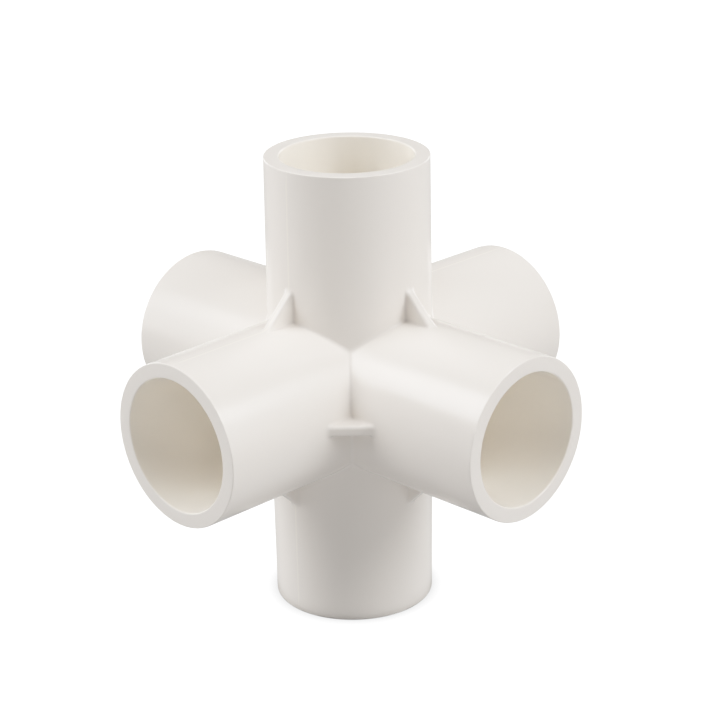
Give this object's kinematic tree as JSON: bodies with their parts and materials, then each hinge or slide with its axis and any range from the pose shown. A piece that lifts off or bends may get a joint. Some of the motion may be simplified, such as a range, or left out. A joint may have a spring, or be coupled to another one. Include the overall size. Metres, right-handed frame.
{
  "type": "six-way pipe socket fitting",
  "caption": "Hollow cross-shaped plastic pipe fitting with equal plain sockets along three perpendicular axes and small triangular webs between neighbours.",
  "frame": {"origin": "where the six socket axes meet, at the centre of the fitting", "axes": "+Z out of the top socket, -Y out of the front socket, +X out of the right socket"},
  "size_m": [0.089, 0.089, 0.089],
  "materials": {
    "pvc": "satin, as moulded"
  },
  "bodies": {
    "root": {"centre_body": "pvc", "socket_top": "pvc", "socket_bottom": "pvc", "socket_front": "pvc", "socket_back": "pvc", "socket_left": "pvc", "socket_right": "pvc", "web_top_front": "pvc", "web_top_back": "pvc", "web_top_left": "pvc", "web_top_right": "pvc", "web_bottom_front": "pvc", "web_bottom_back": "pvc", "web_bottom_left": "pvc", "web_bottom_right": "pvc", "web_front_left": "pvc", "web_front_right": "pvc", "web_back_left": "pvc", "web_back_right": "pvc"}
  },
  "joints": []
}
